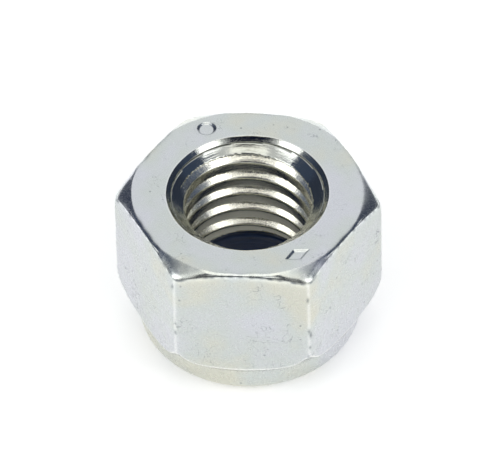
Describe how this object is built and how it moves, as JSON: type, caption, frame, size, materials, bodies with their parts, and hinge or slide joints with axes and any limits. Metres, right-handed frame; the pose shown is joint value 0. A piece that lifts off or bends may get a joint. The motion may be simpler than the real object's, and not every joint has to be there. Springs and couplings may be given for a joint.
{
  "type": "prevailing torque hex nut",
  "caption": "Zinc-plated hex lock nut with a nylon ring crimped into a round collar, chamfered bearing face up, right-hand threaded bore.",
  "frame": {"origin": "on the thread axis, at the rim of the crimped collar that the nut stands on", "axes": "+Z along the thread axis towards the flat bearing face, from which a bolt enters; two corners of the hexagon lie on +X and -X, and a flat faces -Y, the front"},
  "size_m": [0.0182, 0.016, 0.0119],
  "materials": {
    "zinc_plated_steel": "bright electroplated zinc, clear passivated",
    "dark_nylon": "moulded, satin"
  },
  "bodies": {
    "root": {"nut_body": "zinc_plated_steel", "nylon_insert": "dark_nylon"}
  },
  "joints": []
}
